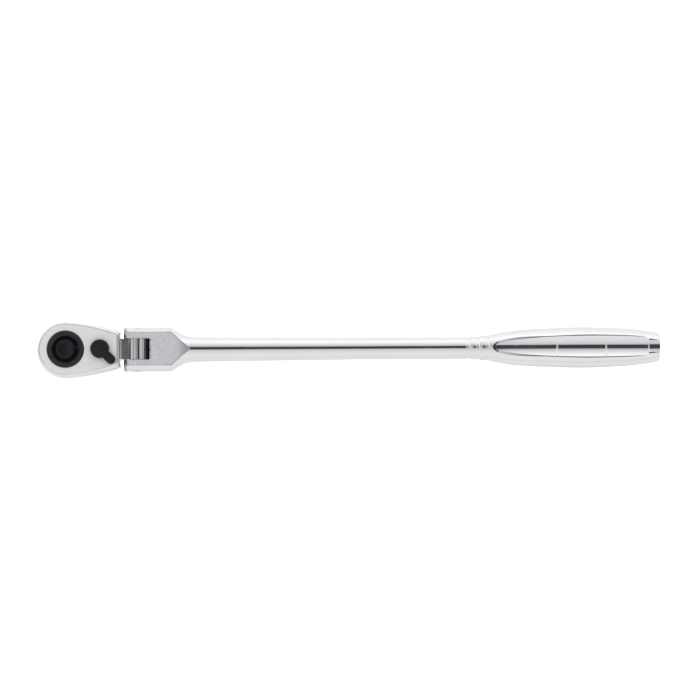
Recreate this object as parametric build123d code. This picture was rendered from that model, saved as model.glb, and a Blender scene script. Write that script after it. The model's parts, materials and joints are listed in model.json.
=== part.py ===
from build123d import *
import os
from math import cos, degrees, radians, sin

# A flex-head ratchet wrench with a 9.5 mm square drive and a push-button socket lock.
# Frame: the origin is on the drive axis, in the plane that a socket seats on.
# +X runs along the handle to the grip, +Y along the flex hinge pin, +Z to the button side.

# ---- whole wrench ----
OVERALL_LENGTH = 320.0
AXIS_Z = 7.6  # height of the handle axis and of the flex hinge

# ---- head ----
NOSE_R = 14.65
NOSE_X = -0.3
HEAD_THICKNESS = 13.2
NOSE_INSET = 0.7  # how much narrower the faces are than the parting plane
SHOULDER_INSET = 1.5
HEAD_EDGE_R = 1.3
CHEEK_START = 86.0  # degrees round the nose, where the bowed cheek takes over
SHOULDER_X = 28.2
SHOULDER_HALF = 9.5
TOP_WALL = 2.6
HEAD_TOP = AXIS_Z + HEAD_THICKNESS / 2
HEAD_BOTTOM = AXIS_Z - HEAD_THICKNESS / 2

# ---- flex hinge ----
PIVOT_X = 36.5
KNUCKLE_R = 6.6
KNUCKLE_WIDTH = 10.6
NECK_HALF = 5.3
DETENT_STEP = 15.0  # degrees between detent grooves
DETENT_REACH = 8  # grooves on each side of straight
GROOVE_DEPTH = 0.34
GROOVE_HALF = 0.5
PIN_R = 2.2
PIN_PROUD = 0.15

# ---- flex detent: a pointed plunger on a spring, in a blind bore behind the slot ----
DETENT_R = 1.6
DETENT_BACK = 47.4
DETENT_BORE_END = 54.0
DETENT_SEAT_GAP = 0.13

# ---- fork and handle ----
FORK_R = 11.3
FORK_FRONT = 29.8
FORK_EDGE = 0.5
FORK_END = 53.8
FORK_CREST = (54.85, 10.92)  # the rounded edge where the fork's cone begins
CONE_END = (57.5, 9.15)  # where the cone begins to sweep into the shaft
FLAT_HALF = 7.25
FLAT_BEND_X = 52.0  # from here the flats droop gently towards the shaft
FLAT_BEND_R = 125.0
FLAT_END_X = 66.0
FLAT_EDGE_R = 0.35
EAR_CORNER_R = 4.1
SLOT_WIDTH = 10.8
SLOT_BASE = 43.5
SLOT_CORNER_R = 0.9
SLOT_EDGE = 0.3
SHAFT_FRONT_X = 66.0
SHAFT_FRONT_R = 6.42
SHAFT_R = 5.65
SHAFT_PARALLEL_X = 152.0
BAND_X = 205.6  # first turned groove
BAND_PITCH = 4.9
BAND_GROOVE = 2.1
BAND_COUNT = 3
BAND_RISE = 0.42  # how much each land is larger than the one before
BAND_DEPTH = 0.3
BAND_LIP = 0.25  # how far a groove's rear lip stands above its front lip
BAND_BULGE = 0.4
GRIP_R = 10.55
GRIP_PEAK_X = 266.0
GRIP_FRONT = ((228.5, 8.75), (245.0, 9.95))  # two points on the swell in front of the peak
GRIP_REAR = (286.0, 9.8)
GRIP_END_R = 7.5
GRIP_EDGE_R = 0.9
GRIP_EDGE_DROP = 1.1

# ---- scooped panels of the grip ----
SCOOP_R = 9.0
SCOOP_BOW_R = 1100.0
SCOOP_PEAK_X = 245.0
SCOOP_FLOOR = 7.15  # height of the scoop's floor above the handle axis at its peak
SCOOP_FRONT_X = 220.5
SCOOP_FRONT_R = 2.5
SCOOP_STEP_X = 299.3
SCOOP_STEP_SLANT = 1.4
SCOOP_STEP_HALF = 4.6
SCOOP_TAIL_R = 10.0
SCOOP_TAIL_RISE = 0.25
SCOOP_TAIL_HALF = 3.1
TAIL_LAND_TOP = 7.45
TAIL_LAND_SLOPE = 8.0  # degrees
RIM_LAND_X = 260.7  # narrow flat land along each rim of the scoop
RIM_LAND_TOP = 8.77
RIM_LAND_BOW_R = 439.0
RIM_LAND_START = 1.5  # distance from the scoop's ends
RIB_X = (252.2, 277.3)
RIB_R = 0.5
RIB_HEIGHT = 0.32
RIB_REACH = 4.6
STEP_RIB_REACH = 2.9

# ---- drive gear ----
SQUARE = 9.53
SQUARE_LENGTH = 11.0
SQUARE_CORNER_R = 6.15
TEETH = 36
TIP_R = 10.2
ROOT_R = 9.4
TOOTH_LAND = 0.3
GEAR_BOTTOM = 3.25
GEAR_TOP = 11.4
SEAT_R = 7.6
BACK_RISE = 0.55  # how far the gear's back stands above the head
RECESS_R = 6.85
FIT = 0.05  # radial running clearance
CAVITY_GAP = 0.3

# ---- push button and socket lock ----
BUTTON_R = 4.8
BUTTON_TOP = 15.5
BUTTON_TRAVEL = 2.2
FLANGE_R = 6.4
FLANGE_BOTTOM = 12.0
FLANGE_THICKNESS = 0.8
ROD_R = 1.6
BALL_R = 2.0
BALL_Z = -5.0
BALL_TRAVEL = 0.8
CLIP_GAP_ANGLE = 9.0
CLIP_GAP = 1.7
CLIP_THICKNESS = 0.6
SPRING_BORE_R = 4.0
SPRING_FLOOR = 4.6
ROD_END = -7.0

# ---- reversing lever and pawl ----
LEVER_X = 17.7
LEVER_BOSS_R = 4.85
LEVER_TAIL = 8.0
LEVER_TAIL_HALF = 2.35
LEVER_ANGLE = 44.0  # degrees each side of the centre line
LEVER_TOP = 16.5
LEVER_SHAFT_R = 3.0
LEVER_STUB_R = 2.0
LEVER_CAVITY_R = 4.6
PAWL_X = 12.2  # axis of the pawl pin
PAWL_PIN_R = 0.9
PAWL_ROCK = 7.0  # degrees each side of the middle
PAWL_BOTTOM = 3.3
PAWL_TOP = 10.4
PAWL_END_ANGLE = 43.0
PAWL_RELIEF_ANGLE = 21.0
PLUNGER_R = 1.1
PLUNGER_TIP = 3.6  # distance of the plunger's tip from the lever axis
PLUNGER_Z = 6.8
PLUNGER_BACK = 0.7  # distance of the plunger's rear end from the lever axis
PLUNGER_BORE_END = -2.1
LEVER_CLIP_BOTTOM = 10.75
LEVER_CLIP_TOP = 11.35
LEVER_GROOVE_R = 2.4

# ---- cover ----
COVER_THICKNESS = 1.8
COVER_NOSE_R = 12.4
COVER_REAR_X = 15.0
COVER_REAR_R = 9.4
SCREW_X = 16.0
SCREW_Y = 6.9
SCREW_R = 1.25
SCREW_HEAD_R = 2.1
SCREW_LENGTH = 5.4

COVER_TOP = HEAD_BOTTOM + COVER_THICKNESS
CAVITY_TOP = HEAD_TOP - TOP_WALL
GEAR_BACK = HEAD_TOP + BACK_RISE
GRIP_END = OVERALL_LENGTH + NOSE_X - NOSE_R
LEVER_REST = -LEVER_ANGLE
PLUNGER_ANGLE = 180 - LEVER_ANGLE
DETENT_BORE_R = DETENT_R + FIT
DETENT_TIP = PIVOT_X + KNUCKLE_R - GROOVE_DEPTH + DETENT_SEAT_GAP

# Heights inside the gear's back, from the clip that holds the button downwards.
CLIP_BOTTOM = FLANGE_BOTTOM + FLANGE_THICKNESS + FIT
CLIP_TOP = CLIP_BOTTOM + CLIP_THICKNESS
CLIP_GROOVE_R = RECESS_R + 0.45
FLANGE_FLOOR = FLANGE_BOTTOM - BUTTON_TRAVEL - 0.4

# The rod's cone pushes the ball out at the ball's own rate, so both move in step.
CONE_SLOPE = BALL_TRAVEL / BUTTON_TRAVEL
CONE_WIDE = BALL_Z - 0.7
CONE_NARROW = BALL_Z + 1.7
CONE_NARROW_R = ROD_R - CONE_SLOPE * (CONE_NARROW - CONE_WIDE)
CONE_AT_BALL_R = ROD_R - CONE_SLOPE * (BALL_Z - CONE_WIDE)
BALL_REACH = CONE_AT_BALL_R + (BALL_R + FIT) * (1 + CONE_SLOPE**2) ** 0.5


def upright(radius, low, high, x=0.0, y=0.0):
    """A cylinder along Z between two heights."""
    return Pos(x, y, (low + high) / 2) * Cylinder(radius, high - low)


def along_x(radius, start, end, y=0.0, z=AXIS_Z):
    """A cylinder along X between two stations."""
    return Pos((start + end) / 2, y, z) * Rot(Y=90) * Cylinder(radius, end - start)


def along_y(radius, length, x=PIVOT_X, z=AXIS_Z):
    """A cylinder along Y, centred on the wrench's middle plane."""
    return Pos(x, 0, z) * Rot(X=90) * Cylinder(radius, length)


def slab(face, low, high):
    """A flat outline in XY, made solid between two heights."""
    return extrude(Pos(0, 0, low) * face, amount=high - low, dir=(0, 0, 1))


def side_slab(face, width, shift=0.0):
    """An outline in XZ, made solid across the wrench's middle plane."""
    return Pos(0, shift, 0) * extrude(face, amount=width / 2, both=True)


def polar(radius, angle, x=0.0, y=0.0):
    """The point at a radius and an angle in degrees from a centre in XY."""
    return (x + radius * cos(radians(angle)), y + radius * sin(radians(angle)))


def turned_about(shape, angle, x, y=0.0):
    """A shape turned about a vertical axis."""
    return Pos(x, y, 0) * Rot(Z=angle) * Pos(-x, -y, 0) * shape


def turned_profile(points):
    """A solid of revolution about Z from a closed outline of (radius, height) points."""
    outline = Plane.XZ * make_face(Polyline(*points, close=True).edges())
    return revolve(outline, Axis.Z)


# ---------------------------------------------------------------- handle


def handle_profile():
    """Half outline of the turned handle, as (station, radius), closed along its axis."""
    fork = Polyline(
        (FORK_FRONT, 0),
        (FORK_FRONT, FORK_R - FORK_EDGE),
        (FORK_FRONT + FORK_EDGE, FORK_R),
        (FORK_END, FORK_R),
    )
    rounding = TangentArc(fork @ 1, FORK_CREST, tangent=(1, 0))
    cone = Line(FORK_CREST, CONE_END)
    fall = TangentArc(CONE_END, (SHAFT_FRONT_X, SHAFT_FRONT_R), tangent=cone % 1)
    shaft = Polyline(fall @ 1, (SHAFT_PARALLEL_X, SHAFT_R), (BAND_X, SHAFT_R))
    curves = [fork, rounding, cone, fall, shaft]
    start = shaft @ 1
    for number in range(BAND_COUNT):
        x = BAND_X + number * BAND_PITCH
        radius = SHAFT_R + number * BAND_RISE
        groove_end = (x + BAND_GROOVE, radius + BAND_LIP)
        groove = ThreePointArc(start, (x + BAND_GROOVE / 2, radius - BAND_DEPTH), groove_end)
        curves.append(groove)
        start = groove @ 1
        if number < BAND_COUNT - 1:
            land_end = (x + BAND_PITCH, radius + BAND_RISE)
            bow = (x + (BAND_GROOVE + BAND_PITCH) / 2, radius + BAND_BULGE)
            curves.append(ThreePointArc(start, bow, land_end))
            start = curves[-1] @ 1
    grip = Spline(
        start,
        *GRIP_FRONT,
        (GRIP_PEAK_X, GRIP_R),
        GRIP_REAR,
        (GRIP_END - GRIP_EDGE_R, GRIP_END_R),
        tangents=((1, 0.2), (1, -0.2)),
    )
    edge = TangentArc(grip @ 1, (GRIP_END, GRIP_END_R - GRIP_EDGE_DROP), tangent=grip % 1)
    end = Polyline(edge @ 1, (GRIP_END, 0), (FORK_FRONT, 0))
    curves += [grip, edge, end]
    return make_face([part for curve in curves for part in curve.edges()])


def bowed_bar(tube_r, floor, start, end):
    """A round bar that lies bowed along the grip, its underside at the scoop's floor."""
    centre_z = floor + tube_r
    hub_z = centre_z - SCOOP_BOW_R
    section = Plane.YZ * Pos(0, centre_z) * Circle(tube_r)
    back = degrees((SCOOP_PEAK_X - start) / SCOOP_BOW_R)
    ahead = degrees((end - SCOOP_PEAK_X) / SCOOP_BOW_R)
    bar = revolve(section, Axis((0, 0, hub_z), (0, 1, 0)), back + ahead)
    return Pos(SCOOP_PEAK_X, 0, hub_z) * Rot(Y=-back) * Pos(0, 0, -hub_z) * bar


def scoop():
    """The scooped panel of one face, blunt at the front, and its narrow run-out to the end."""
    wide = 1.3 * GRIP_R
    flare = 4.0
    shoulder_x = SCOOP_STEP_X - SCOOP_STEP_SLANT
    front_end = SCOOP_FRONT_X + SCOOP_FRONT_R
    outline = Polyline(
        (front_end, SCOOP_FRONT_R),
        (front_end + flare, wide),
        (shoulder_x, wide),
        (shoulder_x, SCOOP_STEP_HALF),
        (SCOOP_STEP_X, SCOOP_TAIL_HALF),
        (SCOOP_STEP_X, -SCOOP_TAIL_HALF),
        (shoulder_x, -SCOOP_STEP_HALF),
        (shoulder_x, -wide),
        (front_end + flare, -wide),
        (front_end, -SCOOP_FRONT_R),
    )
    nose = ThreePointArc(outline @ 0, (SCOOP_FRONT_X, 0), outline @ 1)
    limit = slab(make_face(list(outline.edges()) + [nose]), 0, 2 * GRIP_R)
    main = bowed_bar(SCOOP_R, SCOOP_FLOOR, SCOOP_FRONT_X - 5, SCOOP_STEP_X + 5) & limit
    tail_floor = SCOOP_FLOOR + SCOOP_TAIL_RISE
    tail = bowed_bar(SCOOP_TAIL_R, tail_floor, SCOOP_STEP_X - 6, GRIP_END + 5)
    return main + (tail & Pos(GRIP_END, 0, GRIP_R) * Box(20, 2 * SCOOP_TAIL_HALF, 2 * GRIP_R))


def scoop_floor(x):
    """Height of the scoop's floor above the handle axis at one station."""
    return SCOOP_FLOOR - (x - SCOOP_PEAK_X) ** 2 / (2 * SCOOP_BOW_R)


def rib(x, reach):
    """A low round rib across the scoop, following its hollow."""
    sunk = RIB_R - RIB_HEIGHT
    ring = Torus(SCOOP_R + sunk, RIB_R)
    bar = Pos(x, 0, scoop_floor(x) + SCOOP_R) * Rot(Y=90) * ring
    return bar & Pos(x, 0, SCOOP_FLOOR) * Box(3 * RIB_R, 2 * reach, SCOOP_R)


def rim_land_height(x):
    """Height of the rim lands above the handle axis at one station."""
    return RIM_LAND_TOP - (x - RIM_LAND_X) ** 2 / (2 * RIM_LAND_BOW_R)


def rim_lands():
    """Trims the rims of a scoop to narrow lands: round its nose, and bowed along the grip."""
    start = SCOOP_FRONT_X + RIM_LAND_START
    end = SCOOP_STEP_X - RIM_LAND_START
    above = Pos((start + end) / 2, 0, GRIP_R) * Box(end - start, 1.4 * GRIP_R, 8)
    lands = above - along_y(RIM_LAND_BOW_R, 4 * GRIP_R, RIM_LAND_X, RIM_LAND_TOP - RIM_LAND_BOW_R)
    nose_top = rim_land_height(start)
    nose = Pos(start, 0, nose_top) * Box(8, GRIP_R, 4, align=(Align.MAX, Align.CENTER, Align.MIN))
    return lands + nose


def tail_lands():
    """Trims the rims of the scoop's run-out, which fall towards the end of the grip."""
    above = Box(12, GRIP_R, 4, align=(Align.MIN, Align.CENTER, Align.MIN))
    return Pos(SCOOP_STEP_X, 0, TAIL_LAND_TOP) * Rot(Y=TAIL_LAND_SLOPE) * above


def flat_cutter():
    """What is cut away above a fork flat: level over the slot, drooping towards the shaft."""
    level = Line((FORK_FRONT - 1, FLAT_HALF), (FLAT_BEND_X, FLAT_HALF))
    reach = FLAT_END_X - FLAT_BEND_X
    droop = FLAT_BEND_R - (FLAT_BEND_R**2 - reach**2) ** 0.5
    bend = TangentArc(level @ 1, (FLAT_END_X, FLAT_HALF - droop), tangent=(1, 0))
    top = 2 * FORK_R
    rest = Polyline(bend @ 1, (FLAT_END_X, top), (FORK_FRONT - 1, top), level @ 0)
    face = make_face([level, bend] + list(rest.edges()))
    return side_slab(Plane.XZ * face, 4 * FORK_R)


def flat_edges(body):
    """The long edges of the fork flats, from the ears to the point where they run out."""
    found = []
    for edge in body.edges():
        box = edge.bounding_box()
        lengthwise = box.size.X > FLAT_EDGE_R and box.min.X > FORK_FRONT - 1 and box.max.X < SHAFT_FRONT_X
        if lengthwise and abs(edge.center().Z) > SHAFT_FRONT_R and abs(edge.center().Y) < FORK_R - 1:
            found.append(edge)
    return found


def handle():
    """One forging: fork, shaft and grip."""
    body = revolve(handle_profile(), Axis.X)
    for turn in (0, 180):
        body -= Rot(X=turn) * flat_cutter()
    body = fillet(flat_edges(body), FLAT_EDGE_R)
    ear = RectangleRounded(4 * FORK_R, 2 * FLAT_HALF, EAR_CORNER_R)
    ear_side = side_slab(Plane.XZ * Pos(FORK_FRONT + 2 * FORK_R, 0) * ear, 3 * FORK_R)
    nose_block = Pos(FORK_FRONT + 3, 0, 0) * Box(8, 3 * FORK_R, 3 * FORK_R)
    body -= nose_block - ear_side
    slot_start = FORK_FRONT - 5
    slot_face = Pos((slot_start + SLOT_BASE) / 2, 0) * RectangleRounded(
        SLOT_BASE - slot_start, SLOT_WIDTH, SLOT_CORNER_R
    )
    body -= slab(slot_face, -2 * FLAT_HALF, 2 * FLAT_HALF)
    rims = [
        edge
        for edge in body.edges()
        if abs(abs(edge.center().Z) - FLAT_HALF) < 0.01
        and edge.bounding_box().max.X < SLOT_BASE + 0.1
        and edge.bounding_box().min.X > FORK_FRONT + EAR_CORNER_R - 0.2
        and abs(edge.center().Y) < SLOT_WIDTH / 2 + 0.1
    ]
    body = chamfer(rims, SLOT_EDGE)
    panel = scoop()
    lands = rim_lands() + tail_lands()
    ribs = [rib(x, RIB_REACH) for x in RIB_X] + [rib(SCOOP_STEP_X, STEP_RIB_REACH)]
    for turn in (0, 180):
        body -= Rot(X=turn) * panel
        body -= Rot(X=turn) * lands
        body += [Rot(X=turn) * bar for bar in ribs]
    body = Pos(0, 0, AXIS_Z) * body
    body -= along_y(PIN_R, 3 * FORK_R)
    return body - along_x(DETENT_BORE_R, SLOT_BASE - 1, DETENT_BORE_END)


def hinge_pin():
    """The flex hinge's pin, domed a little proud of both ears."""
    length = 2 * (FORK_R + PIN_PROUD)
    pin = along_y(PIN_R, length)
    return chamfer(pin.edges().filter_by(GeomType.CIRCLE), 0.3)


def flex_plunger():
    """Spring plunger whose blunt cone sits in a groove of the knuckle."""
    point_r = 0.2
    cone = DETENT_R - point_r
    profile = Polyline(
        (0, 0), (point_r, 0), (DETENT_R, 0.82 * cone), (DETENT_R, DETENT_BACK - DETENT_TIP),
        (0, DETENT_BACK - DETENT_TIP), close=True,
    )
    pin = revolve(Plane.XZ * make_face(profile.edges()), Axis.Z)
    return Pos(DETENT_TIP, 0, AXIS_Z) * Rot(Y=90) * pin


def flex_spring():
    """Outer shape of the detent spring."""
    coil = along_x(DETENT_R - 0.1, DETENT_BACK, DETENT_BORE_END)
    return coil - along_x(DETENT_R - 0.6, DETENT_BACK, DETENT_BORE_END)


# ---------------------------------------------------------------- head


def head_outline(nose_inset, shoulder_inset, corner_r):
    """Pear outline: round nose, slightly bowed cheeks, blunt shoulder."""
    nose_r = NOSE_R - nose_inset
    end_x = SHOULDER_X - nose_inset
    end_half = SHOULDER_HALF - shoulder_inset
    start = polar(nose_r, CHEEK_START, NOSE_X)
    along = (sin(radians(CHEEK_START)), -cos(radians(CHEEK_START)))
    cheek = TangentArc(start, (end_x, end_half), tangent=along)
    nose = ThreePointArc(start, (NOSE_X - nose_r, 0), (start[0], -start[1]))
    other = mirror(cheek, Plane.XZ)
    shoulder = Line((end_x, end_half), (end_x, -end_half))
    face = make_face([cheek, nose, shoulder] + list(other.edges()))
    corners = face.vertices().sort_by(Axis.X)[-2:]
    return fillet(corners, corner_r)


def knuckle():
    """Flat neck and round knuckle of the flex hinge, with its detent grooves."""
    neck_start = SHOULDER_X - 3
    web = 0.9
    rise = NECK_HALF + web
    side = [
        (neck_start, rise),
        (SHOULDER_X - 0.2, rise),
        (SHOULDER_X - 0.2 + web, NECK_HALF),
        (PIVOT_X, NECK_HALF),
    ]
    other_side = [(x, -z) for x, z in reversed(side)]
    neck = make_face(Polyline(*side, *other_side, close=True).edges())
    outline = neck + Pos(PIVOT_X, 0) * Circle(KNUCKLE_R)
    body = side_slab(Plane.XZ * outline, KNUCKLE_WIDTH)
    over = 0.3
    spread = GROOVE_HALF * (GROOVE_DEPTH + over) / GROOVE_DEPTH
    notch = Polyline(
        (KNUCKLE_R - GROOVE_DEPTH, 0),
        (KNUCKLE_R + over, spread),
        (KNUCKLE_R + over, -spread),
        close=True,
    )
    notch_bar = side_slab(Plane.XZ * make_face(notch.edges()), 2 * KNUCKLE_WIDTH)
    for step in range(-DETENT_REACH, DETENT_REACH + 1):
        body -= Pos(PIVOT_X, 0, 0) * Rot(Y=step * DETENT_STEP) * notch_bar
    return Pos(0, 0, AXIS_Z) * body


def cover_outline(gap=0.0):
    """Outline of the cover plate, or of its seat with a gap all round."""
    nose = Circle(COVER_NOSE_R + gap)
    rear = Pos(COVER_REAR_X, 0) * Circle(COVER_REAR_R + gap)
    return make_hull(nose.edges() + rear.edges())


def screw_places():
    """Centres of the cover screws."""
    return [(SCREW_X, SCREW_Y), (SCREW_X, -SCREW_Y)]


def mechanism_pocket():
    """Room for the gear, the rocking pawl and the lever shaft."""
    swings = [turned_about(pawl_blank(), angle, PAWL_X) for angle in (-PAWL_ROCK, PAWL_ROCK)]
    swept = make_hull(swings[0].edges() + swings[1].edges())
    room = offset(swept, CAVITY_GAP)
    room += Circle(TIP_R + CAVITY_GAP)
    room += Pos(LEVER_X, 0) * Circle(LEVER_CAVITY_R)
    return slab(room, COVER_TOP - 0.5, CAVITY_TOP)


def head_body():
    """Head forging with its cavities, and the knuckle that the fork holds."""
    widest = head_outline(0, 0, 1.2)
    face = head_outline(NOSE_INSET, SHOULDER_INSET, 2.4)
    half = loft([widest, Pos(0, 0, HEAD_THICKNESS / 2) * face], ruled=True)
    blank = Pos(0, 0, AXIS_Z) * (half + mirror(half, Plane.XY))
    rims = blank.faces().sort_by(Axis.Z)[-1].edges() + blank.faces().sort_by(Axis.Z)[0].edges()
    blank = fillet(rims, HEAD_EDGE_R)
    body = blank + knuckle()
    body -= along_y(PIN_R + FIT, 3 * FORK_R)
    body -= slab(cover_outline(FIT), HEAD_BOTTOM - 1, COVER_TOP)
    body -= mechanism_pocket()
    body -= upright(ROOT_R + FIT, CAVITY_TOP - 1, HEAD_TOP + 1)
    body -= upright(LEVER_SHAFT_R + FIT, CAVITY_TOP - 1, HEAD_TOP + 1, LEVER_X)
    body -= upright(PAWL_PIN_R, CAVITY_TOP - 1, CAVITY_TOP + 1.4, PAWL_X)
    for x, y in screw_places():
        body -= upright(SCREW_R, COVER_TOP - 1, HEAD_BOTTOM + SCREW_LENGTH + 0.6, x, y)
    back_rim = [
        edge
        for edge in body.edges().filter_by(GeomType.CIRCLE)
        if abs(edge.center().Z - HEAD_TOP) < 0.01 and edge.radius > LEVER_SHAFT_R + 1
    ]
    return chamfer(back_rim, 0.2)


def cover_plate():
    """Flush plate that closes the socket side of the head."""
    plate = slab(cover_outline(), HEAD_BOTTOM, COVER_TOP)
    plate = chamfer(plate.faces().sort_by(Axis.Z)[0].edges(), 0.2)
    plate -= upright(SEAT_R + FIT, HEAD_BOTTOM - 1, COVER_TOP + 1)
    plate -= upright(LEVER_STUB_R + FIT, HEAD_BOTTOM - 1, COVER_TOP + 1, LEVER_X)
    plate -= upright(PAWL_PIN_R, HEAD_BOTTOM + 0.8, COVER_TOP + 1, PAWL_X)
    for x, y in screw_places():
        plate -= Pos(x, y, 0) * countersink(FIT)
    return plate


def countersink(gap):
    """Solid shape of a countersunk screw without its socket, at the origin's axis."""
    rim = 0.25
    cone_top = HEAD_BOTTOM + rim + SCREW_HEAD_R - SCREW_R
    points = (
        (0, HEAD_BOTTOM - 0.001),
        (SCREW_HEAD_R + gap, HEAD_BOTTOM - 0.001),
        (SCREW_HEAD_R + gap, HEAD_BOTTOM + rim),
        (SCREW_R + gap, cone_top),
        (SCREW_R + gap, COVER_TOP + 0.5),
        (0, COVER_TOP + 0.5),
    )
    return turned_profile(points)


def cover_screws():
    """The two countersunk screws, as one group of separate solids."""
    rim = 0.25
    shank_r = SCREW_R - 0.02
    cone_top = HEAD_BOTTOM + rim + SCREW_HEAD_R - shank_r
    end = HEAD_BOTTOM + SCREW_LENGTH
    points = (
        (0, HEAD_BOTTOM + 0.1),
        (SCREW_HEAD_R - 0.1, HEAD_BOTTOM + 0.1),
        (SCREW_HEAD_R, HEAD_BOTTOM + rim),
        (shank_r, cone_top),
        (shank_r, end - 0.3),
        (shank_r - 0.3, end),
        (0, end),
    )
    socket = slab(RegularPolygon(0.87, 6), HEAD_BOTTOM - 0.5, HEAD_BOTTOM + 1.1)
    screw = turned_profile(points) - socket
    return Compound(children=[Pos(x, y, 0) * screw for x, y in screw_places()])


# ---------------------------------------------------------------- drive


def gear_outline(grow=0.0):
    """Symmetric ratchet teeth, so that the gear drives both ways."""
    pitch = 360 / TEETH
    tip_half = degrees((TOOTH_LAND / 2 + grow) / TIP_R)
    root_half = degrees((TOOTH_LAND / 2 - 0.6 * grow) / ROOT_R)
    points = []
    for tooth in range(TEETH):
        middle = tooth * pitch
        points += [
            polar(ROOT_R + grow, middle - pitch / 2 + root_half),
            polar(TIP_R + grow, middle - tip_half),
            polar(TIP_R + grow, middle + tip_half),
            polar(ROOT_R + grow, middle + pitch / 2 - root_half),
        ]
    return make_face(Polyline(*points, close=True).edges())


def drive_gear():
    """Gear, square drive and the black back that shows round the button."""
    edge = 0.35
    seat_edge = 0.3
    core = (
        (0, -0.5),
        (SEAT_R - seat_edge - 0.2, -0.5),
        (SEAT_R - seat_edge, 0),
        (SEAT_R, seat_edge),
        (SEAT_R, GEAR_BOTTOM),
        (ROOT_R, GEAR_BOTTOM),
        (ROOT_R, GEAR_BACK - edge),
        (ROOT_R - edge, GEAR_BACK),
        (RECESS_R + 0.55, GEAR_BACK),
        (RECESS_R, GEAR_BACK - 0.45),
        (0, GEAR_BACK - 0.45),
    )
    body = turned_profile(core) - Pos(0, 0, -5) * Box(40, 40, 10)
    body += slab(gear_outline(), GEAR_BOTTOM, GEAR_TOP)
    square = extrude(Pos(0, 0, 0.5) * Rectangle(SQUARE, SQUARE), amount=-SQUARE_LENGTH - 0.5)
    square &= turned_profile(
        (
            (0, 0.5),
            (SQUARE_CORNER_R, 0.5),
            (SQUARE_CORNER_R, 1.9 - SQUARE_LENGTH),
            (SQUARE_CORNER_R - 2.2, -SQUARE_LENGTH),
            (0, -SQUARE_LENGTH),
        )
    )
    body += square
    body -= upright(RECESS_R, CLIP_TOP, GEAR_BACK)
    body -= upright(CLIP_GROOVE_R, CLIP_BOTTOM, CLIP_TOP)
    body -= upright(FLANGE_R + 2 * FIT, FLANGE_FLOOR, CLIP_BOTTOM)
    body -= upright(SPRING_BORE_R, SPRING_FLOOR, FLANGE_FLOOR)
    body -= upright(ROD_R + FIT, ROD_END - BUTTON_TRAVEL - 0.4, SPRING_FLOOR)
    ball_bore = Pos(0, -SQUARE / 2, BALL_Z) * Rot(X=90) * Cylinder(BALL_R + FIT, SQUARE)
    return body - ball_bore


def thrust_washer():
    """Washer that the gear's toothed part runs on, above the cover."""
    washer = upright(ROOT_R - 0.2, COVER_TOP, GEAR_BOTTOM - FIT)
    return washer - upright(SEAT_R + 0.1, COVER_TOP - 1, GEAR_BOTTOM + 1)


def button_clip():
    """Open snap ring that keeps the button's flange in the gear."""
    ring = upright(CLIP_GROOVE_R - FIT, CLIP_BOTTOM, CLIP_TOP - FIT)
    ring -= upright(BUTTON_R + 0.25, CLIP_BOTTOM - 1, CLIP_TOP + 1)
    gap = Pos(CLIP_GROOVE_R, 0, CLIP_TOP) * Box(2 * CLIP_GROOVE_R - 6, CLIP_GAP, 4)
    return ring - Rot(Z=CLIP_GAP_ANGLE) * gap


def release_button():
    """Push button with a soft rim and a shallow thumb dish."""
    dish_r = BUTTON_R - 1.15
    dish_depth = 0.2
    ball_r = (dish_r**2 + dish_depth**2) / (2 * dish_depth)
    crown = upright(BUTTON_R, FLANGE_BOTTOM, BUTTON_TOP)
    crown = fillet(crown.edges().sort_by(Axis.Z)[-1], 0.7)
    crown -= Pos(0, 0, BUTTON_TOP - dish_depth + ball_r) * Sphere(ball_r)
    body = crown + upright(FLANGE_R, FLANGE_BOTTOM, FLANGE_BOTTOM + FLANGE_THICKNESS)
    return body - upright(ROD_R, FLANGE_BOTTOM - 1, FLANGE_BOTTOM + 2)


def release_rod():
    """Rod from the button to the lock ball, waisted where the ball drops in."""
    points = (
        (0, ROD_END),
        (ROD_R - 0.4, ROD_END),
        (ROD_R, ROD_END + 0.4),
        (ROD_R, CONE_WIDE),
        (CONE_NARROW_R, CONE_NARROW),
        (CONE_NARROW_R, -0.2),
        (ROD_R, 0.7),
        (ROD_R, FLANGE_BOTTOM + 2),
        (0, FLANGE_BOTTOM + 2),
    )
    return turned_profile(points)


def release_spring():
    """Outer shape of the spring under the button."""
    coil = upright(SPRING_BORE_R - 0.5, SPRING_FLOOR, FLANGE_BOTTOM)
    return coil - upright(SPRING_BORE_R - 1.2, SPRING_FLOOR - 1, FLANGE_BOTTOM + 1)


def lock_ball():
    """Ball that holds the socket on the square."""
    return Pos(0, -BALL_REACH, BALL_Z) * Sphere(BALL_R)


# ---------------------------------------------------------------- reversing pawl


def pawl_blank():
    """Outline of the pawl in its middle position, before the teeth are cut."""
    inner = polar(ROOT_R, PAWL_END_ANGLE)
    outer = polar(ROOT_R + 2.6, PAWL_END_ANGLE)
    cheek = (PAWL_X + 3.0, 3.5)
    upper = [inner, outer, cheek, (PAWL_X + 3.3, 0)]
    lower = [(x, -y) for x, y in reversed(upper[:-1])]
    blank = make_face(Polyline(*upper, *lower, close=True).edges())
    return fillet(blank.vertices().sort_by(Axis.X)[-3:-1], 0.5) - Circle(ROOT_R - 0.2)


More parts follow.
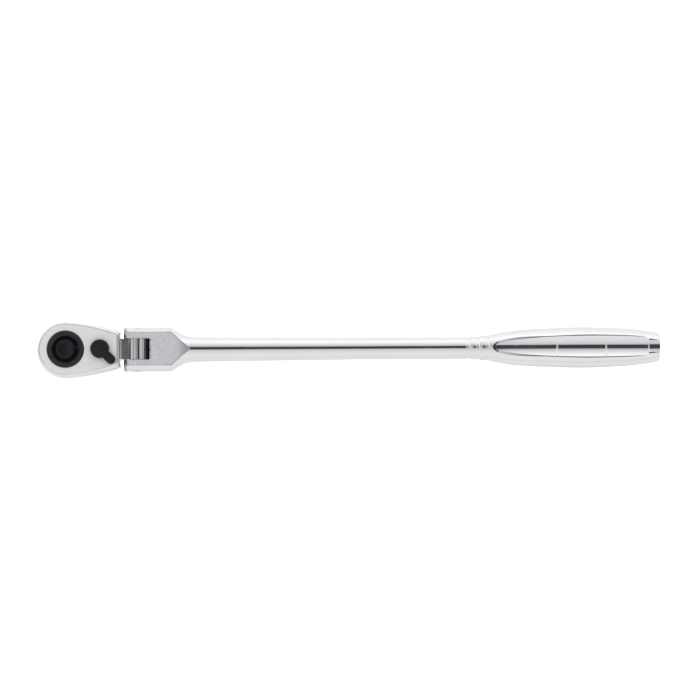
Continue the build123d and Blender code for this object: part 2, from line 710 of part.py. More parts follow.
def pawl():
    """Rocking pawl with teeth at both ends, its upper end in the gear."""
    face = pawl_blank()
    relief = make_face(
        Polyline(
            (0, 0),
            polar(2 * TIP_R, PAWL_RELIEF_ANGLE),
            polar(2 * TIP_R, -PAWL_RELIEF_ANGLE),
            close=True,
        ).edges()
    )
    face -= Circle(TIP_R + 0.35) & relief
    gear = gear_outline(0.06)
    for share in (-1, -0.5, 0, 0.5, 1):
        face -= turned_about(gear, share * PAWL_ROCK, PAWL_X)
    face -= pawl_track()
    for angle in (-PAWL_ROCK, PAWL_ROCK):
        face -= turned_about(Pos(LEVER_X, 0) * Circle(LEVER_SHAFT_R + 0.1), angle, PAWL_X)
    face -= Pos(PAWL_X, 0) * Circle(PAWL_PIN_R + FIT)
    return slab(turned_about(face, PAWL_ROCK, PAWL_X), PAWL_BOTTOM, PAWL_TOP)


def pawl_track():
    """Round hollow in the pawl's back that the plunger's tip follows."""
    gap = 0.1
    middle = LEVER_X - PLUNGER_TIP - gap
    lift = radians(PAWL_ROCK) * (LEVER_X - PAWL_X) * sin(radians(LEVER_ANGLE))
    side_x, side_y = polar(PLUNGER_TIP + gap - lift, 180 - LEVER_ANGLE, LEVER_X)
    centre = (side_x**2 + side_y**2 - middle**2) / (2 * (side_x - middle))
    return Pos(centre, 0) * Circle(centre - middle)


def pawl_pin():
    """Pin that the pawl rocks on, held in the cover and in the head."""
    return upright(PAWL_PIN_R, HEAD_BOTTOM + 0.8, CAVITY_TOP + 1.4, PAWL_X)


def on_plunger_axis(shape):
    """Places a shape made along +X from the lever axis onto the plunger's axis."""
    return Pos(LEVER_X, 0, PLUNGER_Z) * Rot(Z=PLUNGER_ANGLE) * shape


def pawl_plunger():
    """Round-nosed plunger that presses on the pawl's back."""
    nose = PLUNGER_TIP - PLUNGER_R
    pin = along_x(PLUNGER_R, PLUNGER_BACK, nose, z=0) + Pos(nose, 0, 0) * Sphere(PLUNGER_R)
    return on_plunger_axis(pin)


def pawl_spring():
    """Outer shape of the spring behind the plunger."""
    coil = along_x(PLUNGER_R - 0.1, PLUNGER_BORE_END, PLUNGER_BACK, z=0)
    coil -= along_x(PLUNGER_R - 0.5, PLUNGER_BORE_END - 1, PLUNGER_BACK + 1, z=0)
    return on_plunger_axis(coil)


def reversing_lever():
    """Thumb lever: round boss with a tail, on the shaft that carries the plunger."""
    boss = Circle(LEVER_BOSS_R)
    tail = Pos(LEVER_TAIL / 2, 0) * SlotOverall(LEVER_TAIL + 2 * LEVER_TAIL_HALF, 2 * LEVER_TAIL_HALF)
    cap = slab(boss + tail, HEAD_TOP + 0.15, LEVER_TOP)
    cap = fillet(cap.faces().sort_by(Axis.Z)[-1].edges(), 0.55)
    shaft = upright(LEVER_SHAFT_R, COVER_TOP + 0.1, LEVER_TOP - 1)
    shaft += upright(LEVER_STUB_R, HEAD_BOTTOM + 0.1, COVER_TOP + 1)
    groove = upright(LEVER_SHAFT_R + 1, LEVER_CLIP_BOTTOM, LEVER_CLIP_TOP)
    shaft -= groove - upright(LEVER_GROOVE_R, 0, HEAD_TOP)
    body = Pos(LEVER_X, 0, 0) * Rot(Z=LEVER_REST) * (cap + shaft)
    bore = along_x(PLUNGER_R + FIT, PLUNGER_BORE_END, LEVER_SHAFT_R + 1, z=0)
    return body - on_plunger_axis(bore)


def lever_clip():
    """E-shaped clip in the groove of the lever shaft."""
    ring = upright(LEVER_CAVITY_R - 0.35, LEVER_CLIP_BOTTOM, LEVER_CLIP_TOP - FIT)
    ring -= upright(LEVER_GROOVE_R, 0, HEAD_TOP)
    mouth = Pos(LEVER_CAVITY_R, 0, AXIS_Z) * Box(2 * LEVER_CAVITY_R, 1.7 * LEVER_GROOVE_R, HEAD_TOP)
    return Pos(LEVER_X, 0, 0) * Rot(Z=LEVER_REST) * (ring - mouth)


NODES = {
    "handle": handle,
    "hinge_pin": hinge_pin,
    "flex_plunger": flex_plunger,
    "flex_spring": flex_spring,
    "head_body": head_body,
    "cover_plate": cover_plate,
    "cover_screws": cover_screws,
    "thrust_washer": thrust_washer,
    "drive_gear": drive_gear,
    "button_clip": button_clip,
    "release_button": release_button,
    "release_rod": release_rod,
    "release_spring": release_spring,
    "lock_ball": lock_ball,
    "pawl": pawl,
    "pawl_pin": pawl_pin,
    "pawl_plunger": pawl_plunger,
    "pawl_spring": pawl_spring,
    "reversing_lever": reversing_lever,
    "lever_clip": lever_clip,
}

os.makedirs("parts", exist_ok=True)
for name, make in NODES.items():
    export_step(make(), f"parts/{name}.step")
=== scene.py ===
import json
import math
import bmesh
import bpy
from mathutils import Matrix, Vector


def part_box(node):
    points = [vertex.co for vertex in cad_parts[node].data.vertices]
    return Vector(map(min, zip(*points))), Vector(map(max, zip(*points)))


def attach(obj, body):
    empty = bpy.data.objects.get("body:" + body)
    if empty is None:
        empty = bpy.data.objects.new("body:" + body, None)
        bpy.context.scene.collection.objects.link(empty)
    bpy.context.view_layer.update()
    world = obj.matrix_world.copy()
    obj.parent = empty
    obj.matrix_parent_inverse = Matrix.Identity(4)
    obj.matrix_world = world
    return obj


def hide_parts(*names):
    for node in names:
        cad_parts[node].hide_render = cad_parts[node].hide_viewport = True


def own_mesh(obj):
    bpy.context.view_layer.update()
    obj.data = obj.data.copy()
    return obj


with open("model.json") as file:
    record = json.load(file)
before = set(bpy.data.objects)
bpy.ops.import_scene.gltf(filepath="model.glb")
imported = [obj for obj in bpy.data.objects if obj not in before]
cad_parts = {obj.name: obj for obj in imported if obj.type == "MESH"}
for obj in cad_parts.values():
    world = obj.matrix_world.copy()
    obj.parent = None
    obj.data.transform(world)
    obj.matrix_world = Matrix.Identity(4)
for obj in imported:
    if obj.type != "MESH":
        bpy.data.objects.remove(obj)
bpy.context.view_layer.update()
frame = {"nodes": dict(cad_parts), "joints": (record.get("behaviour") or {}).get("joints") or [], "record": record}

# A flex-head ratchet wrench, in metres, in the CAD model's own frame: the handle lies along +X,
# the square drive points down, and the push button and the reversing lever are on top.

MM = 0.001

# ---- places taken from the frame ----
HEAD_LOW, HEAD_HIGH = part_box("head_body")
GRIP_END_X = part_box("handle")[1].x
JOINTS = {joint["name"]: joint for joint in frame["joints"]}
PIVOT = Vector(JOINTS["head_flex"]["pos_m"])
AXIS_Z = PIVOT.z
LENGTH = GRIP_END_X - HEAD_LOW.x
MIDDLE = Vector(((GRIP_END_X + HEAD_LOW.x) / 2, 0, AXIS_Z))
FLOOR_GAP = 2 * MM
FLOOR_Z = AXIS_Z - (PIVOT.x - HEAD_LOW.x) - FLOOR_GAP  # clears the head when it is folded down

# ---- camera ----
CAMERA_LENS = 240.0
CAMERA_SENSOR = 36.0
CAMERA_ELEVATION = math.radians(85)
CAMERA_ROLL = math.radians(-0.3)
VIEW_WIDTH = 1.1245 * LENGTH
AIM_SHIFT = Vector((0.9, -0.65, 0)) * MM

# ---- studio; the tent's brightness goes by the angle from straight up, in degrees ----
TENT_WALLS = (
    (-90, 0.90),
    (-55, 0.89),
    (-28, 0.80),
    (-14, 0.68),
    (20, 0.52),
    (31, 0.72),
    (43, 0.88),
    (55, 1.03),
    (68, 1.15),
    (90, 1.18),
)
OPENING_ACROSS = ((-90, 0), (-8, 0), (-5, 1), (16, 1), (23, 0), (90, 0))
OPENING_ALONG = ((-90, 0), (-7, 0), (-2, 1), (20, 1), (26, 0), (90, 0))
OPENING_COLOUR = (0.050, 0.048, 0.055)
FLOOR_GLOW = 0.42  # lifts the paper to plain white, without lighting the wrench
FLOOR_SIZE = 6.0
LAMP_SIZE = (1.2, 0.6)
LAMP_ENERGY = 7.5
LAMP_OFFSET = Vector((0, 0.9, 0.9))

# ---- colours ----
CHROME = (0.86, 0.86, 0.88)
PAPER_WHITE = (0.93, 0.93, 0.93)
WORN_STEEL = (0.30, 0.29, 0.28)

# ---- painted shade: dark tones laid over the chrome by place, tuned to the photograph's grey levels ----
PAINTED_FORK_SHADE = (0.16, 0.155, 0.16)
PAINTED_SLOT_SHADE = (0.11, 0.105, 0.10)
PAINTED_KNUCKLE_SHADE = (0.08, 0.075, 0.075)

# ---- textured places, in millimetres; a pair holds the stations along X of a fade's two ends ----
AXIS_MM = AXIS_Z / MM
FORK_FLAT_HALF = 7.25
FORK_FLAT_FADE = (66.0, 65.5)
FLAT_BEND_X = 52.0
FLAT_BEND_R = 125.0
FLAT_TOLERANCE = 0.04
FORK_TIP_FADE = (56.0, 64.0)
FORK_BORDER_FADE = (50.0, 55.0)
SLOT_HALF = 5.4
SLOT_BASE = 43.5
EAR_NOSE_FADE = (31.9, 30.6)
KNUCKLE_R = 6.6
GRINDING_FADE = (27.0, 28.5)
NECK_FRONT_FADE = (28.0, 28.4)
NECK_BACK_FADE = (32.2, 31.8)
GROOVE_FADE = (32.0, 33.0)
TURNING_FADE = (32.2, 32.8)
KNUCKLE_END_FADE = (40.5, 41.8)

# ---- springs ----
STEPS_PER_TURN = 28
WIRE_CORNERS = 10
CLOSED_TURN_RISE = 2.1  # in wire radii: a closed turn lies just clear of itself


# ---------------------------------------------------------------- node helper


class Metal:
    """One surface: a principled shader, and short calls that add texture nodes to it. Positions
    are the object's own, in millimetres, so every grain has its real size. In a CAD node they are
    the frame's positions too."""

    def __init__(self, name, colour, roughness, metallic=1.0):
        self.material = bpy.data.materials.new(name)
        self.material.use_nodes = True
        self.tree = self.material.node_tree
        self.shader = self.tree.nodes["Principled BSDF"]
        self.shader.inputs["Base Color"].default_value = (*colour, 1)
        self.shader.inputs["Roughness"].default_value = roughness
        self.shader.inputs["Metallic"].default_value = metallic
        self.source = self.tree.nodes.new("ShaderNodeTexCoord")
        scale = self.tree.nodes.new("ShaderNodeVectorMath")
        scale.operation = "SCALE"
        scale.inputs["Scale"].default_value = 1 / MM
        self.tree.links.new(self.source.outputs["Object"], scale.inputs[0])
        self.place = scale.outputs[0]
        self.last_bump = None

    def feed(self, socket, value):
        """Sets a socket, or links it if the value is another node's output."""
        if isinstance(value, bpy.types.NodeSocket):
            self.tree.links.new(value, socket)
        else:
            socket.default_value = value

    def math(self, operation, first, second=0.0):
        node = self.tree.nodes.new("ShaderNodeMath")
        node.operation = operation
        self.feed(node.inputs[0], first)
        self.feed(node.inputs[1], second)
        return node.outputs[0]

    def product(self, *factors):
        """All the factors multiplied together."""
        result = factors[0]
        for factor in factors[1:]:
            result = self.math("MULTIPLY", result, factor)
        return result

    def largest(self, *values):
        """The largest of the values."""
        result = values[0]
        for value in values[1:]:
            result = self.math("MAXIMUM", result, value)
        return result

    def axis(self, vector, letter):
        """One coordinate of a vector."""
        node = self.tree.nodes.new("ShaderNodeSeparateXYZ")
        self.feed(node.inputs[0], vector)
        return node.outputs[letter]

    def ramp(self, value, low, high, start=0.0, end=1.0):
        """A smooth, clamped step from start to end while the value goes from low to high."""
        node = self.tree.nodes.new("ShaderNodeMapRange")
        node.interpolation_type = "SMOOTHSTEP"
        node.inputs["From Min"].default_value = low
        node.inputs["From Max"].default_value = high
        node.inputs["To Min"].default_value = start
        node.inputs["To Max"].default_value = end
        self.feed(node.inputs["Value"], value)
        return node.outputs[0]

    def noise(self, size, detail=2.0, stretch=(1, 1, 1), distortion=0.0):
        """Noise whose spots are about that many millimetres across, drawn out by stretch."""
        mapping = self.tree.nodes.new("ShaderNodeMapping")
        mapping.inputs["Scale"].default_value = [1 / (size * s) for s in stretch]
        self.feed(mapping.inputs["Vector"], self.place)
        node = self.tree.nodes.new("ShaderNodeTexNoise")
        node.inputs["Scale"].default_value = 1.0
        node.inputs["Detail"].default_value = detail
        node.inputs["Distortion"].default_value = distortion
        self.tree.links.new(mapping.outputs[0], node.inputs["Vector"])
        return node.outputs["Fac"]

    def pits(self, size):
        """Cell pattern of blasted or cast metal: 0 in the middle of a pit, 1 far from it."""
        mapping = self.tree.nodes.new("ShaderNodeMapping")
        mapping.inputs["Scale"].default_value = (1 / size,) * 3
        self.feed(mapping.inputs["Vector"], self.place)
        node = self.tree.nodes.new("ShaderNodeTexVoronoi")
        node.feature = "SMOOTH_F1"
        node.inputs["Scale"].default_value = 1.0
        self.tree.links.new(mapping.outputs[0], node.inputs["Vector"])
        return node.outputs["Distance"]

    def blend(self, share, first, second):
        """Mixes two colours, or outputs, by a share from 0 to 1."""
        node = self.tree.nodes.new("ShaderNodeMix")
        node.data_type = "RGBA"
        self.feed(node.inputs[0], share)
        for socket, value in ((node.inputs[6], first), (node.inputs[7], second)):
            self.feed(socket, value if isinstance(value, bpy.types.NodeSocket) else (*value, 1))
        return node.outputs[2]

    def mix(self, share, first, second):
        """Mixes two numbers by a share from 0 to 1."""
        node = self.tree.nodes.new("ShaderNodeMix")
        self.feed(node.inputs[0], share)
        self.feed(node.inputs[2], first)
        self.feed(node.inputs[3], second)
        return node.outputs[0]

    def bump(self, height, depth):
        """Adds relief of that many millimetres on top of what is there already."""
        node = self.tree.nodes.new("ShaderNodeBump")
        node.inputs["Distance"].default_value = depth * MM
        self.feed(node.inputs["Height"], height)
        if self.last_bump is not None:
            self.tree.links.new(self.last_bump, node.inputs["Normal"])
        self.last_bump = node.outputs[0]
        self.tree.links.new(self.last_bump, self.shader.inputs["Normal"])

    def edge(self, radius, start=0.99, end=0.86):
        """1 along edges, fading to 0 within that many millimetres; start and end are the cosines
        between the rounded and the true surface at which an edge begins to show and is full."""
        bevel = self.tree.nodes.new("ShaderNodeBevel")
        bevel.samples = 6
        bevel.inputs["Radius"].default_value = radius * MM
        normal = self.tree.nodes.new("ShaderNodeNewGeometry").outputs["Normal"]
        dot = self.tree.nodes.new("ShaderNodeVectorMath")
        dot.operation = "DOT_PRODUCT"
        self.tree.links.new(bevel.outputs[0], dot.inputs[0])
        self.tree.links.new(normal, dot.inputs[1])
        return self.ramp(dot.outputs["Value"], start, end)

    def paint(self, colour, roughness=None):
        """Links colour, and roughness if it is given, to the shader."""
        self.tree.links.new(colour, self.shader.inputs["Base Color"])
        if roughness is not None:
            self.tree.links.new(roughness, self.shader.inputs["Roughness"])


# ---------------------------------------------------------------- materials


def fine_scratches(metal):
    """Sparse hairlines drawn out along the wrench: 0.5 on a scratch, 0 between."""
    lines = metal.noise(0.12, detail=0.0, stretch=(40, 1, 1))
    patches = metal.noise(9.0, detail=2.0)
    return metal.product(metal.ramp(lines, 0.70, 0.78), metal.ramp(patches, 0.45, 0.62), 0.5)


def polished(metal):
    """Polished chrome plate: faint smears and hairlines."""
    smears = metal.noise(14.0, detail=4.0, stretch=(2, 1, 1), distortion=0.6)
    hairs = fine_scratches(metal)
    colour = metal.blend(metal.ramp(smears, 0.3, 0.75), [0.97 * c for c in CHROME], CHROME)
    sheen = metal.ramp(smears, 0.35, 0.8, 0.07, 0.13)
    return colour, metal.math("ADD", sheen, metal.product(hairs, 0.3)), hairs


def blasted(metal, light, dark, grain, least, most):
    """Matt blasted chrome: small pits, light and dark speckles, and a little mottling.
    Its roughness lies between least and most."""
    pits = metal.pits(grain)
    speckle = metal.noise(1.7 * grain, detail=3.0)
    mottle = metal.noise(7 * grain, detail=3.0, distortion=0.4)
    share = metal.math("ADD", metal.product(speckle, 0.8), metal.product(mottle, 0.2))
    colour = metal.blend(metal.ramp(share, 0.34, 0.62), dark, light)
    return colour, metal.ramp(mottle, 0.3, 0.7, least, most), pits


def height_off_axis(metal):
    """Distance above or below the handle's axis."""
    return metal.math("ABSOLUTE", metal.math("SUBTRACT", metal.axis(metal.place, "Z"), AXIS_MM))


def handle_material():
    """Chrome plate: blasted on the fork's two flats, polished everywhere else, with painted shade on the flats, on
    the slot's walls and on the ears' noses.
    """
    metal = Metal("chrome_handle", CHROME, 0.1)
    station = metal.axis(metal.place, "X")
    height = height_off_axis(metal)
    on_flat = fork_flat(metal, station, height)
    bright, smooth, hairs = polished(metal)
    matt, rough, pits = blasted(metal, (0.93, 0.93, 0.96), (0.72, 0.72, 0.75), 0.24, 0.52, 0.6)
    # painted shade: the flats' blasted colour darkened along their borders and towards their pointed end
    matt = metal.blend(flat_shade(metal, station), matt, PAINTED_FORK_SHADE)
    colour = metal.blend(on_flat, bright, matt)
    # painted shade: darkens the walls of the fork's slot and the ears' blunt noses
    colour = metal.blend(slot_shade(metal, station, height), colour, PAINTED_SLOT_SHADE)
    metal.paint(colour, metal.mix(on_flat, smooth, rough))
    metal.bump(metal.product(pits, on_flat), 0.05)
    metal.bump(hairs, 0.002)
    return metal.material


def fork_flat(metal, station, height):
    """1 on the fork's two flats, which curve in towards the axis behind the slot."""
    past_bend = metal.math("MAXIMUM", metal.math("SUBTRACT", station, FLAT_BEND_X), 0.0)
    droop = metal.math("DIVIDE", metal.product(past_bend, past_bend), 2 * FLAT_BEND_R)
    off_flat = metal.math("SUBTRACT", metal.math("ADD", height, droop), FORK_FLAT_HALF)
    near = metal.ramp(metal.math("ABSOLUTE", off_flat), 2 * FLAT_TOLERANCE, FLAT_TOLERANCE)
    return metal.product(near, metal.ramp(station, *FORK_FLAT_FADE))


def flat_shade(metal, station):
    """Painted shade on the fork's flats: darker along their borders and towards their pointed end."""
    tip = metal.ramp(station, *FORK_TIP_FADE, 0.0, 0.55)
    border = metal.ramp(station, *FORK_BORDER_FADE, 0.35, 0.9)
    return metal.largest(tip, metal.product(metal.edge(0.9, 0.9998, 0.991), border))


def slot_shade(metal, station, height):
    """Painted shade on the walls of the fork's slot and on the ears' blunt noses: how dark they are."""
    across = metal.math("ABSOLUTE", metal.axis(metal.place, "Y"))
    inside = metal.product(
        metal.ramp(across, SLOT_HALF + 0.06, SLOT_HALF + 0.02),
        metal.ramp(station, SLOT_BASE + 0.08, SLOT_BASE + 0.04),
        metal.ramp(height, FORK_FLAT_HALF - 0.3, FORK_FLAT_HALF - 0.4),
    )
    return metal.largest(metal.product(inside, 0.9), metal.ramp(station, *EAR_NOSE_FADE, 0.0, 0.65))


def head_material():
    """Chrome plate: fine matt faces, polished cheeks, and a ground knuckle with painted shade in its neck, grooves
    and back end.
    """
    metal = Metal("satin_head", (0.8, 0.8, 0.82), 0.2)
    station = metal.axis(metal.place, "X")
    height = height_off_axis(metal)
    facing = metal.math("ABSOLUTE", metal.axis(metal.source.outputs["Normal"], "Z"))
    face = (HEAD_HIGH.z - HEAD_LOW.z) / 2 / MM
    on_face = metal.product(
        metal.ramp(facing, 0.9985, 0.9998),
        metal.ramp(height, face - 0.2, face - 0.1),
    )
    bright, smooth, hairs = polished(metal)
    matt, rough, pits = blasted(metal, (1.0, 1.0, 1.0), (0.92, 0.92, 0.94), 0.16, 0.8, 0.9)
    colour = metal.blend(on_face, bright, matt)
    # painted shade: darkens the neck, the knuckle's grooves and back end, with darker turning lines across it
    colour = metal.blend(knuckle_shade(metal, station, height), colour, PAINTED_KNUCKLE_SHADE)
    metal.paint(colour, metal.mix(on_face, smooth, rough))
    metal.bump(metal.product(pits, on_face), 0.02)
    ground = metal.noise(0.10, detail=1.0, stretch=(1, 60, 1))
    metal.bump(metal.product(ground, metal.ramp(station, *GRINDING_FADE)), 0.004)
    metal.bump(hairs, 0.002)
    return metal.material


def knuckle_shade(metal, station, height):
    """Painted shade in the neck, in the knuckle's grooves and at its back end: how dark they are; also darker
    turning lines across the knuckle.
    """
    past_pivot = metal.math("SUBTRACT", station, PIVOT.x / MM)
    squares = metal.math("ADD", metal.product(past_pivot, past_pivot), metal.product(height, height))
    reach = metal.math("SQRT", squares)
    in_groove = metal.ramp(reach, KNUCKLE_R - 0.1, KNUCKLE_R - 0.26)
    turning = metal.ramp(metal.noise(0.30, detail=2.0, stretch=(1, 200, 3)), 0.50, 0.62, 0.0, 0.5)
    return metal.largest(
        metal.product(in_groove, metal.ramp(station, *GROOVE_FADE), 0.3),
        metal.ramp(station, *KNUCKLE_END_FADE, 0.0, 0.92),
        metal.product(turning, metal.ramp(station, *TURNING_FADE)),
        metal.product(
            metal.ramp(station, *NECK_FRONT_FADE),
            metal.ramp(station, *NECK_BACK_FADE),
            0.28,
        ),
    )


def cover_material():
    """The cover plate's even, fine matt finish."""
    metal = Metal("satin_cover", (0.75, 0.75, 0.78), 0.4)
    matt, rough, pits = blasted(metal, (0.95, 0.95, 0.97), (0.84, 0.84, 0.87), 0.16, 0.66, 0.74)
    metal.paint(metal.blend(metal.edge(0.25), matt, CHROME), rough)
    metal.bump(pits, 0.02)
    return metal.material


def black_oxide(name, tone, roughness=(0.34, 0.48), wear=0.6):
    """Blackened steel: a fine grain, oily patches, and bare metal rubbed along the edges."""
    metal = Metal(name, tone, roughness[0])
    patches = metal.noise(3.0, detail=4.0, distortion=0.5)
    speckle = metal.noise(0.2, detail=2.0)
    dark = [0.75 * c for c in tone]
    light = [1.3 * c for c in tone]
    colour = metal.blend(metal.ramp(speckle, 0.3, 0.75), dark, light)
    handled = metal.ramp(metal.noise(1.2, detail=3.0), 0.38, 0.66)
    colour = metal.blend(metal.product(metal.edge(0.16), handled, wear), colour, WORN_STEEL)
    metal.paint(colour, metal.ramp(patches, 0.3, 0.7, *roughness))
    metal.bump(speckle, 0.008)
    return metal.material


def ground_steel(name, tone, stretch, roughness):
    """Bare ground steel with stains, and fine grinding lines drawn out by stretch."""
    metal = Metal(name, tone, roughness[0])
    lines = metal.noise(0.05, detail=2.0, stretch=stretch)
    stain = metal.noise(2.5, detail=3.0, distortion=0.4)
    colour = metal.blend(metal.ramp(stain, 0.35, 0.7), [0.86 * c for c in tone], tone)
    metal.paint(colour, metal.ramp(lines, 0.3, 0.7, *roughness))
    metal.bump(lines, 0.003)
    return metal.material


def spring_wire():
    """Drawn and oiled spring wire."""
    metal = Metal("spring_steel", (0.34, 0.33, 0.32), 0.3)
    oil = metal.noise(0.9, detail=3.0, distortion=0.5)
    drawn = metal.noise(0.08, detail=2.0)
    colour = metal.blend(metal.ramp(oil, 0.3, 0.7), (0.24, 0.22, 0.20), (0.44, 0.43, 0.42))
    metal.paint(colour, metal.ramp(oil, 0.3, 0.7, 0.22, 0.38))
    metal.bump(drawn, 0.002)
    return metal.material


def make_materials():
    """Every material slot of the record, by name."""
    return {
        "chrome_handle": handle_material(),
        "satin_head": head_material(),
        "satin_cover": cover_material(),
        "bright_pin": ground_steel("bright_pin", (0.78, 0.78, 0.80), (1, 30, 1), (0.12, 0.22)),
        "plain_steel": ground_steel("plain_steel", (0.52, 0.51, 0.51), (20, 1, 1), (0.2, 0.32)),
        "bright_ball": ground_steel("bright_ball", (0.80, 0.80, 0.82), (1, 1, 1), (0.06, 0.10)),
        "spring_steel": spring_wire(),
        "black_screw": black_oxide("black_screw", (0.030, 0.029, 0.029)),
        "black_gear": black_oxide("black_gear", (0.070, 0.063, 0.063)),
        "black_clip": black_oxide("black_clip", (0.014, 0.012, 0.012), wear=0.3),
        "black_button": black_oxide("black_button", (0.042, 0.039, 0.050), (0.28, 0.36), wear=0.3),
        "black_pawl": black_oxide("black_pawl", (0.045, 0.044, 0.044)),
        "black_lever": black_oxide("black_lever", (0.050, 0.044, 0.051), (0.36, 0.46), wear=0.3),
    }


def dress_cad_nodes(materials):
    """Gives each CAD node the material of its slot in the record."""
    slots = {part["node"]: part["material_slot"] for part in frame["record"]["subparts"]}
    for name, node in frame["nodes"].items():
        node.data.materials.clear()
        node.data.materials.append(materials[slots[name]])


# ---------------------------------------------------------------- springs


def coil_spring(name, node, start, end, outer_r, wire_r, turns, material):
    """A wound spring with closed, flattened ends, in place of its CAD tube."""
    along = end - start
    length = along.length
    steps = int(turns * STEPS_PER_TURN)
    mean_r = outer_r - wire_r
    up = Vector((0, 0, 1))
    build = bmesh.new()
    rings = []
    for step in range(steps + 1):
        share = step / steps
        angle = 2 * math.pi * turns * share
        height = spring_height(share, turns, length, wire_r)
        outward = Vector((math.cos(angle), math.sin(angle), 0))
        middle = outward * mean_r + up * height
        row = []
        for corner in range(WIRE_CORNERS):
            round_wire = 2 * math.pi * corner / WIRE_CORNERS
            point = middle + (outward * math.cos(round_wire) + up * math.sin(round_wire)) * wire_r
            row.append(build.verts.new(point))
        rings.append(row)
    for lower, upper in zip(rings, rings[1:]):
        for corner in range(WIRE_CORNERS):
            after = (corner + 1) % WIRE_CORNERS
            build.faces.new((lower[corner], lower[after], upper[after], upper[corner]))
    build.faces.new(list(reversed(rings[0])))
    build.faces.new(rings[-1])
    bmesh.ops.recalc_face_normals(build, faces=build.faces)
    mesh = bpy.data.meshes.new(name)
    build.to_mesh(mesh)
    build.free()
    turn = up.rotation_difference(along.normalized())
    mesh.transform(Matrix.Translation(start) @ turn.to_matrix().to_4x4())
    for face in mesh.polygons:
        face.use_smooth = len(face.vertices) == 4
    mesh.materials.append(material)
    spring = bpy.data.objects.new(name, mesh)
    bpy.context.scene.collection.objects.link(spring)
    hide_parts(node)
    return spring


def spring_height(share, turns, length, wire_r):
    """Height of the wire's centre: one closed turn at each end, an even pitch between."""
    closed = 1.0 / turns
    low = wire_r
    dead = CLOSED_TURN_RISE * wire_r
    high = length - wire_r
    if share < closed:
        return low + dead * share / closed
    if share > 1 - closed:
        return high - dead * (1 - share) / closed
    middle = (share - closed) / (1 - 2 * closed)
    return low + dead + (high - low - 2 * dead) * middle


def flex_spring(wire):
    """Presses the flex plunger forward out of the handle."""
    low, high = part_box("flex_spring")
    front = Vector((low.x, 0, AXIS_Z))
    back = Vector((high.x, 0, AXIS_Z))
    outer_r = (high.z - low.z) / 2
    spring = coil_spring(
        "detent_coil", "flex_spring", back, front, outer_r,
        wire_r=0.22 * MM, turns=8, material=wire,
    )
    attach(spring, "handle")
    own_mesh(spring)


def release_spring(wire):
    """Lifts the button."""
    low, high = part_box("release_spring")
    bottom = Vector((0, 0, low.z))
    top = Vector((0, 0, high.z))
    spring = coil_spring(
        "button_coil", "release_spring", bottom, top, high.x,
        wire_r=0.33 * MM, turns=5.5, material=wire,
    )
    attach(spring, "drive")
    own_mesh(spring)


def pawl_spring(wire):
    """Presses the plunger out of the lever's shaft. It lies slantwise, so its length comes from
    its box along X, less the share that its round ends take up."""
    low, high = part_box("pawl_spring")
    inward = Vector(JOINTS["plunger_slide"]["axis"])
    outer_r = (high.z - low.z) / 2
    centre = (low + high) / 2
    half = ((high.x - low.x) / 2 - outer_r * abs(inward.y)) / abs(inward.x)
    fixed = centre + inward * half
    loose = centre - inward * half
    spring = coil_spring(
        "pawl_coil", "pawl_spring", fixed, loose, outer_r,
        wire_r=0.14 * MM, turns=6, material=wire,
    )
    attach(spring, "lever")
    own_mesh(spring)


# ---------------------------------------------------------------- studio


def place_camera():
    """Above the button side, a few degrees off the vertical, with the whole wrench in view."""
    data = bpy.data.cameras.new("camera")
    data.lens = CAMERA_LENS
    data.sensor_width = CAMERA_SENSOR
    camera = bpy.data.objects.new("camera", data)
    bpy.context.scene.collection.objects.link(camera)
    distance = VIEW_WIDTH * CAMERA_LENS / CAMERA_SENSOR
    direction = Vector((0, -math.cos(CAMERA_ELEVATION), math.sin(CAMERA_ELEVATION)))
    camera.location = MIDDLE + AIM_SHIFT + direction * distance
    tilt = Matrix.Rotation(math.pi / 2 - CAMERA_ELEVATION, 3, "X")
    roll = Matrix.Rotation(CAMERA_ROLL, 3, "Z")
    camera.rotation_euler = (tilt @ roll).to_euler()
    bpy.context.scene.camera = camera


def studio_floor():
    """A white paper floor, which glows a little towards the camera only."""
    build = bmesh.new()
    bmesh.ops.create_grid(build, x_segments=8, y_segments=8, size=FLOOR_SIZE / 2)
    mesh = bpy.data.meshes.new("floor")
    build.to_mesh(mesh)
    build.free()
    floor = bpy.data.objects.new("floor", mesh)
    floor.location = (MIDDLE.x, 0, FLOOR_Z)
    bpy.context.scene.collection.objects.link(floor)
    paper = Metal("white_paper", PAPER_WHITE, 0.8, metallic=0.0)
    fibres = paper.noise(3.0, detail=3.0)
    paper.paint(paper.blend(fibres, PAPER_WHITE, (0.95, 0.95, 0.95)))
    paper.shader.inputs["Emission Color"].default_value = (1, 1, 1, 1)
    seen = paper.tree.nodes.new("ShaderNodeLightPath").outputs["Is Camera Ray"]
    paper.tree.links.new(paper.product(seen, FLOOR_GLOW), paper.shader.inputs["Emission Strength"])
    floor.data.materials.append(paper.material)


def dome_profile(tree, angle, stops):
    """Brightness against an angle: a colour ramp with its stops given in degrees."""
    span = tree.nodes.new("ShaderNodeMapRange")
    span.inputs["From Min"].default_value = -math.pi / 2
    span.inputs["From Max"].default_value = math.pi / 2
    tree.links.new(angle, span.inputs["Value"])
    ramp = tree.nodes.new("ShaderNodeValToRGB")
    tree.links.new(span.outputs[0], ramp.inputs[0])
    elements = ramp.color_ramp.elements
    while len(elements) < len(stops):
        elements.new(0.5)
    for element, (degrees, value) in zip(elements, stops):
        element.position = (degrees + 90) / 180
        element.color = (value, value, value, 1)
    return ramp.outputs["Color"]


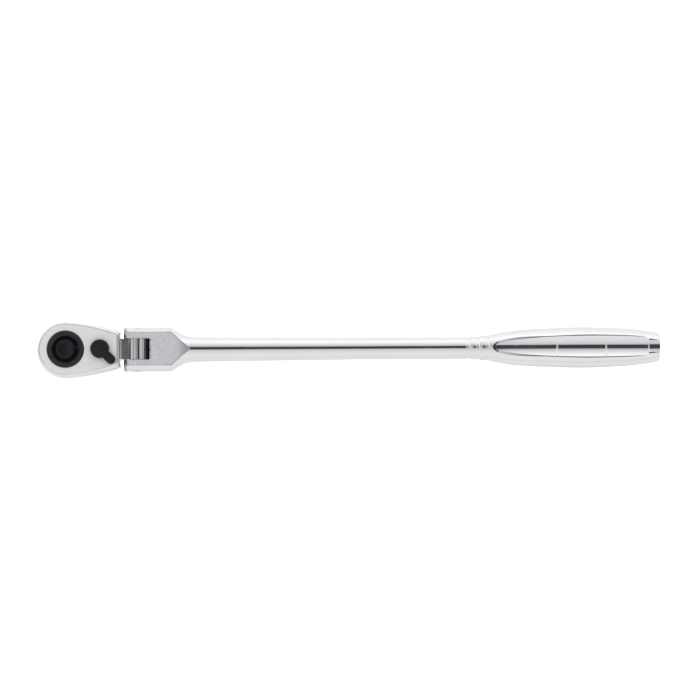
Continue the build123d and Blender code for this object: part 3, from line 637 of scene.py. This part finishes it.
def studio_world():
    """A white tent with a small dark opening above the wrench, where the photographer stands.
    Angles are measured from straight up, positive towards +Y and towards +X."""
    world = bpy.data.worlds.new("studio")
    bpy.context.scene.world = world
    world.use_nodes = True
    tree = world.node_tree
    background = tree.nodes["Background"]
    source = tree.nodes.new("ShaderNodeTexCoord")
    split = tree.nodes.new("ShaderNodeSeparateXYZ")
    tree.links.new(source.outputs["Generated"], split.inputs[0])
    angles = {}
    for letter in "XY":
        node = tree.nodes.new("ShaderNodeMath")
        node.operation = "ARCTAN2"
        tree.links.new(split.outputs[letter], node.inputs[0])
        tree.links.new(split.outputs["Z"], node.inputs[1])
        angles[letter] = node.outputs[0]
    walls = dome_profile(tree, angles["Y"], TENT_WALLS)
    across = dome_profile(tree, angles["Y"], OPENING_ACROSS)
    along = dome_profile(tree, angles["X"], OPENING_ALONG)
    opening = tree.nodes.new("ShaderNodeMath")
    opening.operation = "MULTIPLY"
    tree.links.new(across, opening.inputs[0])
    tree.links.new(along, opening.inputs[1])
    mix = tree.nodes.new("ShaderNodeMix")
    mix.data_type = "RGBA"
    tree.links.new(opening.outputs[0], mix.inputs[0])
    tree.links.new(walls, mix.inputs[6])
    mix.inputs[7].default_value = (*OPENING_COLOUR, 1)
    tree.links.new(mix.outputs[2], background.inputs["Color"])


def soft_light():
    """One large softbox high on the far side, kept out of the chrome's reflections."""
    data = bpy.data.lights.new("softbox", "AREA")
    data.shape = "RECTANGLE"
    data.size, data.size_y = LAMP_SIZE
    data.energy = LAMP_ENERGY
    lamp = bpy.data.objects.new("softbox", data)
    lamp.location = MIDDLE + LAMP_OFFSET
    lamp.rotation_euler = (-LAMP_OFFSET).to_track_quat("-Z", "Y").to_euler()
    lamp.visible_glossy = False
    bpy.context.scene.collection.objects.link(lamp)


materials = make_materials()
dress_cad_nodes(materials)
for make_spring in (flex_spring, release_spring, pawl_spring):
    make_spring(materials["spring_steel"])
place_camera()
studio_floor()
studio_world()
soft_light()
bpy.context.scene.view_settings.view_transform = "Standard"
